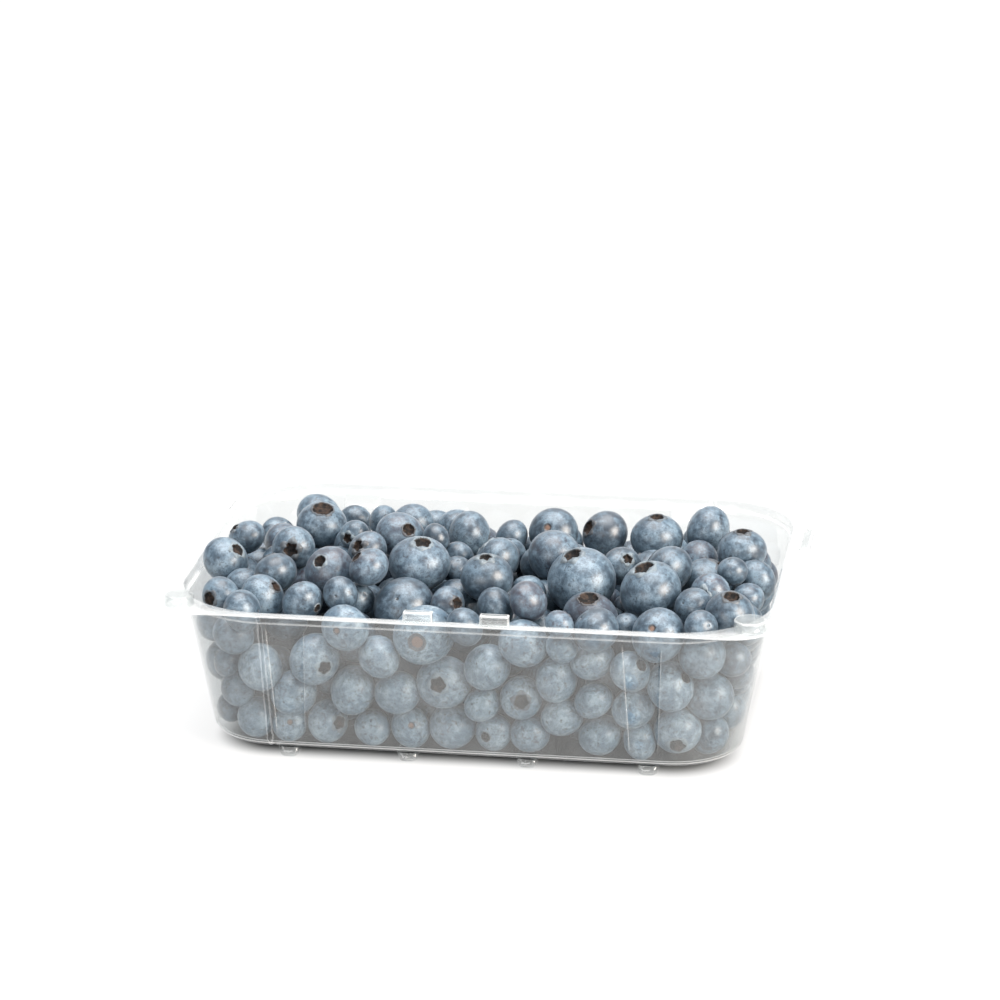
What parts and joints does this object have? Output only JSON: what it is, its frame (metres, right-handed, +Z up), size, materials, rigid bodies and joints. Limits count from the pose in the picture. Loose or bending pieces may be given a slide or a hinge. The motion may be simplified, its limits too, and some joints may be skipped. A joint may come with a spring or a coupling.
{
  "type": "fruit punnet",
  "caption": "Clear rectangular punnet with rounded corners, a flat flange with lid studs and side ears, heaped with loose dusty blue berries",
  "frame": {"origin": "middle of the bounding box in plan, at the underside of the feet", "axes": "+X along the long side, +Y from the front to the back, +Z up"},
  "size_m": [0.197, 0.1364, 0.0591],
  "materials": {
    "clear_plastic": "clear thermoformed sheet, glossy and slightly hazy",
    "berry_skin": "smooth berry skin under a pale dusty bloom"
  },
  "bodies": {
    "root": {"tub": "clear_plastic", "berry_heap": "berry_skin"}
  },
  "joints": []
}
